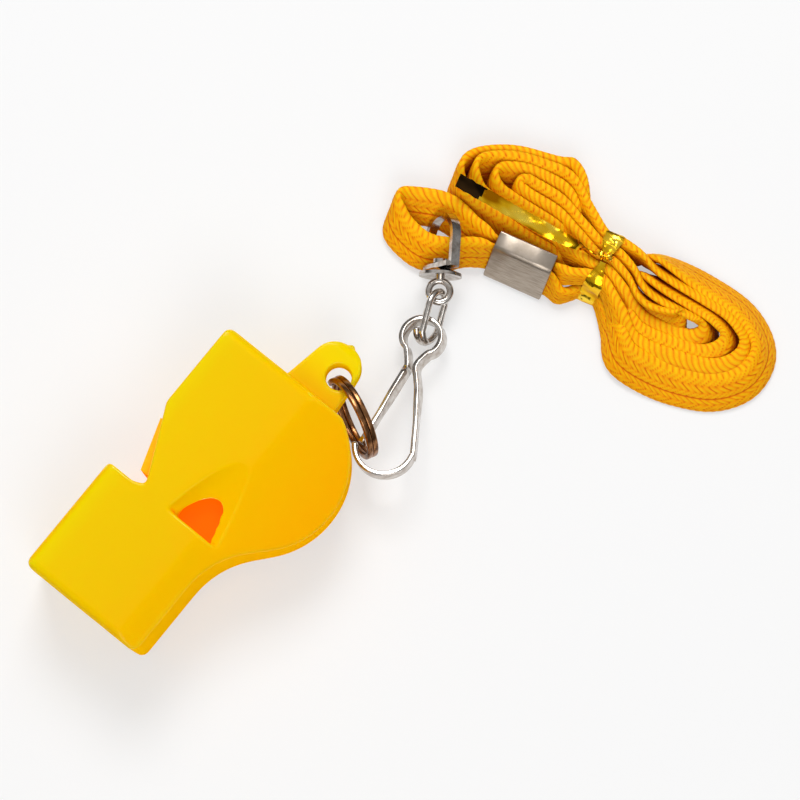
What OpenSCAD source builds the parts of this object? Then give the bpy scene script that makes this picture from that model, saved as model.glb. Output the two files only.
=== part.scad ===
/* [Whistle body] */
// Length from the mouth end to the flat rear face
body_l = 47.4; // [44:0.1:54]
// Width across the two flat sides
body_w = 19; // [18:0.1:22]
// Radius of the round barrel
barrel_r = 14.4; // [13.6:0.1:15.4]
// Distance from the barrel's centre to the rear face
rear_x = 12.9; // [12:0.1:13.4]
// Height of the mouth end
mouth_h = 21.4; // [20:0.1:23]
// Distance from the barrel's centre up to the mouthpiece's top
top_y = 16.7; // [15.8:0.1:18]
// Drop of the rear top below the mouthpiece's top
rear_drop = 1; // [0:0.1:2]
// Thickness of the outer walls
wall = 1.6; // [1.2:0.05:1.9]
// Radius of the long edges
edge_r = 1.1; // [0.6:0.1:1.4]
// Angle at which the sides draw in towards the belly
belly_angle = 21; // [18:0.5:23]

/* [Top window] */
// Length of the mouthpiece from the mouth end to the top window
window_from_mouth = 19.9; // [18:0.1:21]
// Depth of the notch at its foot
notch_d = 6.6; // [6:0.1:7]
// Length of the sloping cut behind the notch
notch_l = 11.7; // [10:0.1:12.5]
// Gap from the windway's exit to the lip of the ramp
window_l = 2.1; // [1.5:0.1:2.6]
// Height of each windway
windway_h = 1.3; // [1:0.1:1.5]
// Depth of the top windway's roof below the top
windway_d = 3.4; // [3:0.1:3.8]
// Width of the top windway
windway_w = 14; // [12:0.1:15]

/* [Side windows] */
// Radius of the scooped cut
scoop_r = 6.3; // [5.5:0.1:7]
// Depth of the scooped cut at its step
scoop_d = 2.9; // [2.5:0.05:3.1]
// Length of the scooped cut
scoop_l = 12.6; // [11:0.1:14]
// Width of the side windways
side_way_w = 6.2; // [5:0.1:7]
// Depth of each side chamber
side_depth = 3.1; // [2.8:0.05:3.3]
// Thickness of the partitions
partition_t = 1.3; // [1:0.05:1.5]

/* [Lug] */
// Length of the lug beyond the rear face
lug_l = 10.6; // [9.5:0.1:12]
// Height of the lug at its root
lug_h = 10.3; // [9.6:0.1:11.5]
// Width of the lug
lug_w = 4.6; // [4:0.1:4.8]
// Radius of the hole in the lug
lug_hole_r = 2.03; // [1.95:0.01:2.1]

/* [Split ring] */
// Outer diameter of the split ring
ring_d = 13.8; // [13.6:0.1:14]
// Radial thickness of its flat wire
ring_t = 0.9; // [0.7:0.05:0.95]
// Height of one turn of its wire
ring_turn_h = 0.8; // [0.7:0.01:0.85]

/* [Hook] */
// Width of the bent strip
strip_w = 2.2; // [2:0.1:2.3]
// Thickness of the bent strip
strip_t = 0.8; // [0.6:0.05:0.9]
// Radius of the J end
hook_r = 4.6; // [4.4:0.1:4.9]
// Length from the J's centre to the eye's centre
hook_l = 18.9; // [18.4:0.1:19.4]
// Radius of the eye
hook_eye_r = 3.1; // [3:0.05:3.3]

/* [Link and swivel] */
// Diameter of the link's wire
link_wire_d = 1.1; // [0.9:0.05:1.2]
// Length of the link from wire centre to wire centre
link_l = 8.4; // [8:0.1:8.8]
// Width of the link from wire centre to wire centre
link_w = 4.6; // [4.5:0.05:4.7]
// Radius of the swivel's eye at the middle of its wire
eye_r = 1.7; // [1.6:0.05:1.8]
// Radius of the swivel's shank
shank_r = 0.75; // [0.6:0.05:0.8]
// Radius of the dished disc
disc_r = 3.4; // [3:0.1:3.6]
// Running clearance round the shank
run_gap = 0.06; // [0.03:0.01:0.09]

/* [D-ring] */
// Half the height of the D-ring at the middle of its strip
dee_r = 3.95; // [3.8:0.05:4.1]
// Length of the D-ring's straight legs
dee_leg = 4.3; // [4:0.1:4.5]
// Width of the D-ring's strip
dee_w = 1.5; // [1.2:0.1:1.8]
// Thickness of the D-ring's strip
dee_t = 0.8; // [0.6:0.05:0.9]

/* [Cord] */
// Width of the flat cord
cord_w = 6; // [5.6:0.1:6.4]
// Thickness of the flat cord
cord_t = 0.8; // [0.7:0.05:0.85]

/* [Crimp] */
// Length of the crimped ferrule
crimp_l = 9.8; // [9:0.1:10.4]
// Thickness of the ferrule's sheet
crimp_t = 0.4; // [0.3:0.05:0.45]

/* [Twist tie] */
// Thickness of the tie's foil band round the waist
tie_t = 0.4; // [0.3:0.05:0.5]
// Width of the tie's foil band round the waist
tie_w = 2.6; // [2:0.1:3]

/* [Hidden] */
$fn = 64;
plastic = [0.95, 0.72, 0.02];
nickel = [0.78, 0.77, 0.74];
bronze = [0.38, 0.2, 0.1];
braid = [0.96, 0.68, 0.05];
gold = [0.86, 0.68, 0.16];
over = 0.2; // overrun of every cut

// Vectors and curves
function unit(v) = v / norm(v);
function mix(a, b, s) = a + (b - a) * s;
function smooth(x) = let (s = min(1, max(0, x))) s * s * (3 - 2 * s);
function turned(p, a) = [p[0] * cos(a) - p[1] * sin(a), p[0] * sin(a) + p[1] * cos(a)];
function run(path, i = 1) = i >= len(path) ? 0 : norm(path[i] - path[i - 1]) + run(path, i + 1);

// One corner of an outline, rounded with radius r by an arc of n steps
function corner(a, b, c, r, n) =
    let (ua = unit(a - b), uc = unit(c - b), half = acos(ua * uc) / 2,
        centre = b + unit(ua + uc) * r / sin(half), from = ua * r / tan(half) + b - centre,
        side = sign(ua[0] * uc[1] - ua[1] * uc[0]))
    [for (k = [0 : n]) centre + turned(from, -side * (180 - 2 * half) * k / n)];

// A closed outline from corners [x, y, radius]
function rounded(pts, n = 6) =
    let (m = len(pts), xy = [for (p = pts) [p[0], p[1]]])
    [for (i = [0 : m - 1]) each (pts[i][2] == 0 ? [xy[i]]
        : corner(xy[(i + m - 1) % m], xy[i], xy[(i + 1) % m], pts[i][2], n))];

// An open run from corners [x, y, radius], with plain ends
function rounded_run(pts, n = 6) =
    let (m = len(pts), xy = [for (p = pts) [p[0], p[1]]])
    [for (i = [0 : m - 1]) each (i == 0 || i == m - 1 || pts[i][2] == 0 ? [xy[i]]
        : corner(xy[i - 1], xy[i], xy[i + 1], pts[i][2], n))];

// Faces of a tube of rings with the same number of points, with two flat ends
function tube_faces(rings, sides) = concat(
    [for (i = [0 : rings - 2], j = [0 : sides - 1])
        let (k = (j + 1) % sides) each [
            [i * sides + j, i * sides + k, (i + 1) * sides + j],
            [i * sides + k, (i + 1) * sides + k, (i + 1) * sides + j]]],
    [for (j = [1 : sides - 2]) [0, j + 1, j]],
    [for (j = [1 : sides - 2]) let (b = (rings - 1) * sides) [b, b + j, b + j + 1]]);

// Direction of a path at point i
function along(path, i) = unit(path[min(len(path) - 1, i + 1)] - path[max(0, i - 1)]);

// One ring of a swept section: its first axis lies square to the path and to up, its second along up
function ring_at(path, i, section, up) =
    let (t = along(path, i), a = unit(cross(up, t)), b = cross(t, a))
    [for (s = section) path[i] + a * s[0] + b * s[1]];

// A section swept along a path of points in space
module swept(path, section, up) {
    rings = [for (i = [0 : len(path) - 1]) each ring_at(path, i, section, up)];
    polyhedron(rings, tube_faces(len(path), len(section)), convexity = 6);
}
function flat_section(w, h) = [[-w, -h] / 2, [-w, h] / 2, [w, h] / 2, [w, -h] / 2];
function round_section(d, n = 8) = [for (k = [0 : n - 1]) [cos(-360 * k / n), sin(-360 * k / n)] * d / 2];

// Whistle body. X runs from the mouth to the lug, Y up to the windway and Z across the width.
mouth_x = rear_x - body_l;
mouth_y = top_y - mouth_h;
window_x = mouth_x + window_from_mouth;
mouth_edge_r = edge_r * 1.2;
rear_edge_r = edge_r * 1.4;
belly_r = barrel_r;
belly_turn = 42;
belly_touch = -90 - belly_turn;
belly_corner = let (p = turned([barrel_r, 0], belly_touch), run_up = (mouth_y - p[1]) / sin(belly_turn))
    [p[0] - run_up * cos(belly_turn), mouth_y];
barrel_steps = 20;
rear_touch = -acos(rear_x / barrel_r);
notch_foot = [window_x + notch_d / 8, top_y - notch_d];
ramp_top = [notch_foot[0] + notch_l, top_y - rear_drop];

function body_outline() = rounded(concat(
    [[mouth_x, top_y, mouth_edge_r], [mouth_x, mouth_y, mouth_edge_r],
        [belly_corner[0], belly_corner[1], belly_r]],
    [for (k = [0 : barrel_steps])
        let (p = turned([barrel_r, 0], mix(belly_touch, rear_touch, k / barrel_steps))) [p[0], p[1], 0]],
    [[rear_x, ramp_top[1], edge_r], [ramp_top[0], ramp_top[1], edge_r],
        [notch_foot[0], notch_foot[1], edge_r / 2],
        [window_x, top_y - windway_d - windway_h, 0],
        [window_x, top_y, edge_r / 2]]));

// Half width of the body at height y, inset from its skin
belly_from = -1;
function half_at(y, inset) = body_w / 2 - (y < belly_from
    ? (belly_from - y) * tan(belly_angle) + inset / cos(belly_angle) : inset);

// Section across the body, as [y, z]
function cross_outline(inset) =
    let (top = top_y - inset, low = -barrel_r - edge_r)
    rounded([[top, body_w / 2 + half_at(top, inset), edge_r], [top, body_w / 2 - half_at(top, inset), edge_r],
        [belly_from, body_w / 2 - half_at(belly_from, inset), edge_r * 3],
        [low, body_w / 2 - half_at(low, inset), 0], [low, body_w / 2 + half_at(low, inset), 0],
        [belly_from, body_w / 2 + half_at(belly_from, inset), edge_r * 3]]);

// Places what is drawn as [y, z] so that it runs along X
module along_x(from, to) translate([from, 0, 0]) rotate([90, 0, 90]) linear_extrude(to - from) children();
// Places what is drawn as [x, z] so that it runs along Y
module along_y(from, to) translate([0, to, 0]) rotate([90, 0, 0]) linear_extrude(to - from) children();

module body_block() intersection() {
    linear_extrude(body_w) polygon(body_outline());
    along_x(mouth_x - over, rear_x + over) polygon(cross_outline(0));
    along_y(-barrel_r - over, top_y + over) polygon(rounded([
        [mouth_x, 0, mouth_edge_r], [rear_x, 0, rear_edge_r],
        [rear_x, body_w, rear_edge_r], [mouth_x, body_w, mouth_edge_r]]));
}

// Lug: a rounded finger at mid width
lug_root_x = rear_x - edge_r * 2;
lug_tip_x = rear_x + lug_l;
lug_top_y = lug_h * 0.54;
lug_low_y = lug_top_y - lug_h;
lug_hole_x = rear_x + lug_l * 0.47;
lug_hole_y = -1.5;
lug_nub_r = 0.7;
function lug_outline() = rounded([
    [lug_root_x, lug_top_y, 0], [lug_tip_x - lug_l * 0.11, lug_h * 0.33, lug_h * 0.38],
    [lug_tip_x, -lug_h * 0.35, lug_h * 0.36], [lug_root_x, lug_low_y, 0]], 10);
module lug() {
    intersection() {
        translate([0, 0, (body_w - lug_w) / 2]) linear_extrude(lug_w) polygon(lug_outline());
        along_y(lug_low_y - over, lug_top_y + over) translate([0, body_w / 2]) polygon(rounded([
            [lug_root_x - over, -lug_w / 2, 0], [lug_tip_x, -lug_w / 2, lug_w * 0.48],
            [lug_tip_x, lug_w / 2, lug_w * 0.48], [lug_root_x - over, lug_w / 2, 0]]));
    }
    translate([lug_tip_x - lug_nub_r, 0, body_w / 2]) sphere(lug_nub_r);
}

// Hollows
chamber_r = barrel_r - wall;
chamber_rear = rear_x - wall;
core_w = body_w - 2 * (wall + side_depth);
way_low = top_y - windway_d - windway_h;
lip = [window_x + window_l, way_low + windway_h * 0.3];
ramp_end = [ramp_top[0] - notch_l * 0.2, ramp_top[1] - rear_drop * 0.6];
ramp_w = windway_w;
neck_half = side_way_w / 2 + partition_t / 2;
module chamber_2d(inset) {
    intersection() {
        circle(chamber_r - inset);
        translate([-barrel_r, -barrel_r]) square([barrel_r + chamber_rear - inset, 2 * barrel_r]);
    }
    translate([window_x + inset, -neck_half + inset]) square([-window_x - inset, 2 * (neck_half - inset)]);
}
module core_block() {
    translate([0, 0, (body_w - core_w) / 2]) linear_extrude(core_w) {
        chamber_2d(0);
        translate([window_x, 0]) square([-window_x, notch_foot[1]]);
    }
    ramp_foot_y = notch_foot[1] - partition_t;
    translate([0, 0, (body_w - ramp_w) / 2]) linear_extrude(ramp_w)
        polygon([lip, ramp_end, [ramp_end[0], ramp_foot_y], [lip[0], ramp_foot_y]]);
}
module side_hollow() {
    intersection() {
        translate([0, 0, wall]) linear_extrude(side_depth) chamber_2d(0);
        along_x(window_x - over, rear_x) polygon(cross_outline(wall));
    }
    translate([mouth_x - over, -side_way_w / 2, wall])
        cube([window_from_mouth + 2 * over, side_way_w, windway_h]);
    tilt = atan(scoop_d / scoop_l);
    intersection() {
        translate([window_x, 0, scoop_d - scoop_r / cos(tilt)]) rotate([0, 90 + tilt, 0])
            cylinder(h = 3 * scoop_l, r = scoop_r, center = true);
        translate([window_x, -scoop_r, -scoop_r]) cube([2 * scoop_l, 2 * scoop_r, scoop_r + scoop_d + over]);
    }
}
module housing_half() difference() {
    intersection() {
        union() { body_block(); lug(); }
        translate([mouth_x - over, -2 * barrel_r, 0]) cube([2 * body_l, 4 * barrel_r, body_w / 2]);
    }
    side_hollow();
    core_block();
    translate([mouth_x - over, way_low, (body_w - windway_w) / 2])
        cube([window_from_mouth + 2 * over, windway_h, windway_w]);
    translate([lug_hole_x, lug_hole_y, -over]) cylinder(h = body_w, r = lug_hole_r);
}
module lower_housing() color(plastic) housing_half();
module upper_housing() color(plastic) translate([0, 0, body_w]) mirror([0, 0, 1]) housing_half();
module chamber_core() color(plastic) difference() {
    core_block();
    translate([0, 0, (body_w - core_w) / 2 + partition_t]) linear_extrude(core_w - 2 * partition_t) {
        chamber_2d(partition_t);
        translate([window_x + partition_t / 2, 0]) square([window_l - partition_t / 2, top_y]);
    }
}

// Split ring: it hangs from the lug's hole down to the table, inside the hook
ring_r = (ring_d - ring_t) / 2;
ring_dip = 14;
ring_lean = 12;
ring_plan = 241;
ring_bearing = 0.1;
ring_pitch = ring_turn_h + run_gap;
ring_from = [lug_hole_x, lug_hole_y, body_w / 2];
ring_out = [cos(ring_dip) * cos(ring_plan), cos(ring_dip) * sin(ring_plan), -sin(ring_dip)];
ring_level = [-sin(ring_plan), cos(ring_plan), 0];
ring_up = unit(cross(ring_out, ring_level)) * cos(ring_lean) + ring_level * sin(ring_lean);
ring_axis = cross(ring_out, ring_up);
ring_c = ring_from + ring_out * (ring_r - ring_bearing);
ring_cut = 200;
ring_path = [for (a = [0 : 10 : 720])
    ring_c + (ring_out * cos(a + ring_cut) + ring_up * sin(a + ring_cut)) * ring_r
        + ring_axis * ring_pitch * (a / 360 - 1)];
module split_ring() color(bronze) swept(ring_path, flat_section(ring_t, ring_turn_h), ring_axis);

// Hook: a flat outline [p, q], p from the J's centre to the eye, rolled so that its long leg is up
hook_at = [14.3, -13.5, 7.1];
hook_plan = 20.2;
hook_pitch = 10;
hook_roll = 8;
hook_p = [cos(hook_plan) * cos(hook_pitch), sin(hook_plan) * cos(hook_pitch), -sin(hook_pitch)];
hook_side = [sin(hook_plan), -cos(hook_plan), 0];
hook_q = hook_side * cos(hook_roll) + cross(hook_side, hook_p) * sin(hook_roll);
hook_n = cross(hook_q, hook_p);
function on_hook(pt) = hook_at + hook_p * pt[0] + hook_q * pt[1];
neck_p = hook_l * 0.74;
neck_half_gap = 0.3;
neck_q = strip_t / 2 + neck_half_gap;
gate_gap = 0.15;
gate_root = [neck_p - strip_w * 0.4, -neck_q];
gate_tip = turned([hook_r - strip_t - gate_gap, 0], -98);
leg_bend = [hook_l * 0.51, hook_r * 0.5];
leg_touch = atan2(leg_bend[1], leg_bend[0]) + acos(hook_r / norm(leg_bend));
leg_blend = 8;
hook_end = 260;
function arc(c, r, from, to, n) = [for (k = [0 : n]) c + turned([r, 0], mix(from, to, k / n))];
hook_run = concat(
    [[gate_root[0] + gate_gap, gate_root[1]]],
    [[neck_p, -neck_q]],
    arc([hook_l, 0], hook_eye_r, -148, 148, 18),
    rounded_run([[neck_p, neck_q, 0], [leg_bend[0], leg_bend[1], hook_r * 2],
        turned([hook_r, 0], leg_touch)], 5),
    arc([0, 0], hook_r, leg_touch + leg_blend, hook_end, 18));
gate_run = [for (k = [0 : 4]) mix(gate_tip, gate_root, k / 4)];
module strip(points) swept([for (p = points) on_hook(p)], flat_section(strip_t, strip_w), hook_n);
module hook_body() color(nickel) strip(hook_run);
module hook_gate() color(nickel) strip(gate_run);

// Swivel and D-ring: one axis, level, from the hook's side to the cord's side
eye_at = on_hook([hook_l, 0]);
swivel_from_eye = [9.832, 4.3729];
swivel_z = 4.45;
swivel_at = [eye_at[0] + swivel_from_eye[0], eye_at[1] + swivel_from_eye[1], swivel_z];
swivel_plan = 35.3;
swivel_dir = [cos(swivel_plan), sin(swivel_plan), 0];
disc_t = 0.5;
disc_dish = 0.7;
eye_gap = 0.1;
eye_s = -disc_dish - link_wire_d / 2 - eye_r - eye_gap;
base_s = disc_t + run_gap + dee_t / 2;
head_s = base_s + dee_t / 2 + run_gap;
dee_roll = 30;
head_t = 0.6;
head_r = shank_r * 1.8;
module on_swivel(s) translate(swivel_at) rotate([0, 0, swivel_plan]) translate([s, 0, 0]) children();
module swivel_eye() color(nickel) {
    on_swivel(eye_s) rotate_extrude() translate([eye_r, 0]) circle(link_wire_d / 2, $fn = 24);
    shank_from = eye_s + eye_r;
    on_swivel(shank_from) rotate([0, 90, 0]) cylinder(h = head_s + over / 2 - shank_from, r = shank_r);
    on_swivel(head_s) rotate([0, 90, 0]) cylinder(h = head_t, r = head_r);
}
module swivel_disc() color(nickel) on_swivel(0) rotate([0, 90, 0]) rotate_extrude()
    polygon([[shank_r + run_gap, -disc_t / 2], [disc_r * 0.45, -disc_t / 2], [disc_r, -disc_dish],
        [disc_r, -disc_dish + disc_t], [disc_r * 0.5, disc_t], [shank_r + run_gap, disc_t]]);
module d_ring() color(nickel) on_swivel(base_s) rotate([dee_roll, 0, 0]) difference() {
    union() {
        translate([-dee_t / 2, -dee_w * 0.8, -dee_r + dee_t / 2])
            cube([dee_t, dee_w * 1.6, 2 * dee_r - dee_t]);
        for (side = [-1, 1])
            translate([-dee_t / 2, -dee_w / 2, side * dee_r - dee_t / 2])
                cube([dee_leg + dee_t / 2, dee_w, dee_t]);
        translate([dee_leg, 0, 0]) rotate([90, 0, 0]) rotate([0, 0, -90]) rotate_extrude(angle = 180)
            translate([dee_r - dee_t / 2, -dee_w / 2]) square([dee_t, dee_w]);
    }
    translate([-dee_t, 0, 0]) rotate([0, 90, 0]) cylinder(h = 2 * dee_t, r = shank_r + run_gap);
}

// Link: oval wire of slightly more than one turn through the hook's eye and the swivel's eye
link_drop = 1.8;
link_to = swivel_at + swivel_dir * eye_s;
link_from = on_hook([hook_l - hook_eye_r * 0.3, hook_eye_r * 0.2]) - [0, 0, link_drop];
link_dir = unit(link_to - link_from);
link_roll = 36;
link_side = unit([0, 0, 1] - link_dir * link_dir[2]) * cos(link_roll)
    + unit(cross([0, 0, 1], link_dir)) * sin(link_roll);
link_axis = cross(link_dir, link_side);
link_c = link_to - link_dir * link_l / 2;
link_reach = (link_l - link_w) / 2;
link_lap = link_wire_d + run_gap;
function oval(a) = let (d = turned([link_w / 2, 0], a)) [d[0] + link_reach * (d[0] >= 0 ? 1 : -1), d[1]];
link_cuts = [95, 275, 455];
link_stop = 520;
link_step = 13;
link_path = [for (from = link_cuts) each [for (a = [from : link_step : min(from + 170, link_stop)]) oval(a)]];
link_points = [for (i = [0 : len(link_path) - 1])
    link_c + link_dir * link_path[i][0] + link_side * link_path[i][1]
        + link_axis * link_lap * (i / (len(link_path) - 1) - 0.5) * 1.25];
module oval_link() color(nickel) swept(link_points, round_section(link_wire_d), link_axis);

// Hank frame: u along the hank towards its right lobe, v across it, z up. Everything leans over with z.
hank_from_swivel = [14.6, -19.6];
hank_at = [swivel_at[0] + hank_from_swivel[0], swivel_at[1] + hank_from_swivel[1], 0];
hank_plan = -75.5;
lean = 33;
hank_u = [cos(hank_plan), sin(hank_plan), 0];
hank_v = [-sin(hank_plan), cos(hank_plan), 0];
function on_hank(p) = hank_at + hank_u * p[0] + hank_v * (p[1] + p[2] * tan(lean)) + [0, 0, p[2]];
band_h = cord_w * cos(lean);
tube_gap = 0.45;
row_h = (band_h - tube_gap) / 2;
lobe_low = 0.2;
waist_low = 0.7;
waist_half = tie_w / 2;
waist_step = 1.72;
right_v = -3.2;
right_step = 1.8;
left_v = 11.6;
left_step = 1.95;
left_end_step = 1.72;
left_skew = 0.4;
nest_rise = 1.3;
right_fan = 7.5;
left_fan = 9;
right_short = 14;
right_long = 27.8;
left_short = 16;
left_long = 25;
bend_share = 1.6;
folds = 5;
slots = 2 * folds;
mid_slot = (slots - 1) / 2;
right_most = folds - 0.5;
left_most = folds - 1.5;

// Crimp: two layers of cord side by side in a folded sheet
crimp_u = -11.7;
crimp_v = -5.05;
crimp_z = 3.4;
layer_step = cord_t + tube_gap / cos(lean);
crimp_gap = 0.12;

// A band's state at a point of its path: [u, v, z, height]. At the waist the bands are narrow, in two rows.
function waist_v(i) = (floor(i / 2) - (folds - 1) / 2) * waist_step;
function waist_row(i) = i < folds ? (i % 2 == 0 ? -1 : 1) : (i % 2 == 1 && i != folds ? -1 : 1);
function waist_z(i) = waist_low + band_h / 2 + waist_row(i) * (row_h + tube_gap) / 2;
function lobe_v(s, side, is_leg) = side > 0 ? right_v + (s - mid_slot) * right_step
    : left_v - (slots - 1 - s) * (is_leg ? left_step : left_end_step);

// How far a fold of half width r slots reaches out: the wide ones lie outside the narrow ones
function reach(r, side) = let (k = (r - 0.5) / ((side > 0 ? right_most : left_most) - 0.5))
    mix(side > 0 ? right_short : left_short, side > 0 ? right_long : left_long, 1 - pow(1 - k, 1.35));

// The fold from slot i to slot j: a leg of 3 rings that fans out, a bend of 6 rings and a leg of 3 rings back
function fold(i, j, side) =
    let (c = (i + j) / 2, r = (j - i) / 2, nest = (side > 0 ? right_most : left_most) - abs(r),
        fan = side > 0 ? right_fan : left_fan, step = side > 0 ? right_step : left_step,
        skew = side > 0 ? 0 : left_skew, bend = abs(r) * step * bend_share, leg = reach(abs(r), side) - bend)
    [for (k = [0 : 11])
        let (a = 36 * min(5, max(0, k - 3)), spread = min(2, k, 11 - k) / 2, is_leg = k < 3 || k > 8,
            s = c - r * cos(a), out = is_leg ? fan * spread : leg + bend * sin(a) - (s - c) * step * skew)
        [side * (waist_half + out), mix(waist_v(s), lobe_v(s, side, is_leg), spread),
            is_leg ? waist_z(s) : lobe_low + band_h / 2 + nest * nest_rise, is_leg ? row_h : band_h]];

// The order in which the cord takes the slots at the waist: right fold, left fold, right fold and so on
order = [0, 9, 2, 7, 4, 5, 6, 3, 8, 1];
function lead(i, layer) =
    let (v = crimp_v + layer * layer_step / 2, out_u = crimp_u + crimp_l / 2, span = -waist_half - out_u)
    [[crimp_u, v, crimp_z, band_h], for (k = [0 : 4])
        let (s = k / 4)
        [out_u + span * s, mix(v, waist_v(i), smooth(2 * s - 1)), mix(crimp_z, waist_z(i), smooth(2 * s)),
            mix(band_h, row_h, smooth(2 * s))]];
function back(pts) = [for (k = [len(pts) - 1 : -1 : 0]) pts[k]];
hank_path = concat(lead(0, -1),
    [for (k = [0 : 2 * folds - 2]) each fold(order[k], order[k + 1], k % 2 == 0 ? 1 : -1)],
    back(lead(1, 1)));

// Small loop: out of the ferrule's other end, through the D-ring and back
loop_l = 17;
loop_w = 4.3;
loop_lift = 1.05;
loop_flare = 11;
loop_rise_l = 6;
loop_rings = 20;
loop_path = concat(
    [[crimp_u, crimp_v - layer_step / 2, crimp_z, band_h]],
    [for (k = [0 : loop_rings])
        let (a = 180 * k / loop_rings, out = loop_l * pow(sin(a), 0.85))
        [crimp_u - crimp_l / 2 - out,
            crimp_v - cos(a) * mix(layer_step / 2, loop_w, smooth(out / loop_flare)),
            crimp_z + loop_lift * smooth(out / loop_rise_l), band_h]],
    [[crimp_u, crimp_v + layer_step / 2, crimp_z, band_h]]);

// Six sides of a flat cord of thickness t and height h
function band_section(t, h) = [[0, -h / 2], [-t / 2, -h / 2 + t / 3], [-t / 2, h / 2 - t / 3],
    [0, h / 2], [t / 2, h / 2 - t / 3], [t / 2, -h / 2 + t / 3]];
module cord_tube(path) {
    n = len(path);
    points = [for (i = [0 : n - 1])
        let (a = path[max(0, i - 1)], b = path[min(n - 1, i + 1)], t = unit([b[0] - a[0], b[1] - a[1]]),
            across = [-t[1], t[0]])
        each [for (s = band_section(cord_t, path[i][3]))
            on_hank([path[i][0] + across[0] * s[0], path[i][1] + across[1] * s[0], path[i][2] + s[1]])]];
    polyhedron(points, tube_faces(n, 6), convexity = 10);
}

// Least gap between two stretches of the cord that aren't neighbours along it
function to_segment(p, a, b) =
    let (d = b - a, l2 = d * d, t = l2 == 0 ? 0 : min(1, max(0, (p - a) * d / l2))) norm(p - a - d * t);
function pair_gap(path, i, j) =
    let (a = [path[j][0], path[j][1]], b = [path[j + 1][0], path[j + 1][1]], t = unit(b - a))
    max((to_segment([path[i][0], path[i][1]], a, b) - cord_t) / sqrt(1 + pow(t[0] * tan(lean), 2)),
        abs(path[i][2] - path[j][2]) - (path[i][3] + max(path[j][3], path[j + 1][3])) / 2);
function own_gap(path) = min([for (i = [0 : len(path) - 1], j = [0 : len(path) - 2])
    if (j > i + 3 || j + 1 < i - 3) pair_gap(path, i, j)]);
flat_run = concat(back(loop_path), [for (k = [1 : len(hank_path) - 2]) hank_path[k]]);
echo(hank_gap = own_gap(hank_path), loop_gap = own_gap(loop_path), whole_gap = own_gap(flat_run),
    cord_length = run([for (p = flat_run) on_hank(p)]));

module lanyard_hank() color(braid) cord_tube(hank_path);
module lanyard_loop() color(braid) cord_tube(loop_path);

// Folded sheet ferrule round the two layers
function prism_points(l, t, h) = [for (u = [-l / 2, l / 2], s = [[-1, -1], [-1, 1], [1, 1], [1, -1]])
    on_hank([crimp_u + u, crimp_v + s[0] * t / 2, crimp_z + s[1] * h / 2])];
module prism(l, t, h) polyhedron(prism_points(l, t, h), tube_faces(2, 4));
crimp_in_t = cord_t + layer_step + 2 * crimp_gap;
crimp_in_h = band_h + 2 * crimp_gap;
module crimp_ferrule() color(nickel) difference() {
    prism(crimp_l, crimp_in_t + 2 * crimp_t, crimp_in_h + 2 * crimp_t);
    prism(crimp_l + 2 * over, crimp_in_t, crimp_in_h);
}

// Twist tie: a foil band round the waist, its knot and its long tail
tie_gap = 0.2;
tie_half_v = (folds - 1) / 2 * waist_step + cord_t / 2 + tie_gap + tie_t / 2;
tie_half_z = band_h / 2 + tie_gap + tie_t / 2;
tie_mid_z = waist_low + band_h / 2;
tie_r = 0.6;
tie_corners = [[-tie_half_v, tie_half_z - tie_t, 0], [-tie_half_v, -tie_half_z, tie_r],
    [tie_half_v, -tie_half_z, tie_r], [tie_half_v, tie_half_z, tie_r], [-tie_half_v + tie_t, tie_half_z, 0]];
tie_loop = [for (p = rounded_run(tie_corners, 4)) on_hank([0, p[0], tie_mid_z + p[1]])];
knot_l = 2.4;
knot_t = 1.3;
knot_z = tie_mid_z + tie_half_z + tie_t / 2 + run_gap;
knot_v = -waist_step * 0.7;
knot_path = [for (k = [-3 : 3])
    on_hank([0, knot_v, knot_z + knot_t / 2]) + hank_u * knot_l / 2 * k / 3];
tail_w = 2.2;
tail_t = 0.35;
tail_l = 26;
tail_shares = [[-0.06, -0.05, 0.02], [-0.2, -0.06, 0.03], [-0.4, -0.06, 0.04], [-0.6, -0.05, 0.05],
    [-0.8, -0.03, 0.05], [-1, -0.01, 0.05]];
tail_path = [for (p = tail_shares) on_hank([p[0] * tail_l, p[1] * tail_l, knot_z + p[2] * tail_l])];
module twist_tie() color(gold) {
    swept(tie_loop, flat_section(tie_t, tie_w), hank_u);
    swept(knot_path, round_section(knot_t), [0, 0, 1]);
    swept(tail_path, flat_section(tail_w, tail_t), [0, 0, 1]);
}

lower_housing();
upper_housing();
chamber_core();
split_ring();
hook_body();
hook_gate();
oval_link();
swivel_eye();
swivel_disc();
d_ring();
crimp_ferrule();
lanyard_loop();
lanyard_hank();
twist_tie();
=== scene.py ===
"""Looks of a sports whistle on a flat-cord lanyard.

Places are in the part's own frame, with sizes in mm and meshes in metres.
"""
import math

import bmesh
import bpy
import numpy as np
from mathutils import Matrix, Vector, noise


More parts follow.
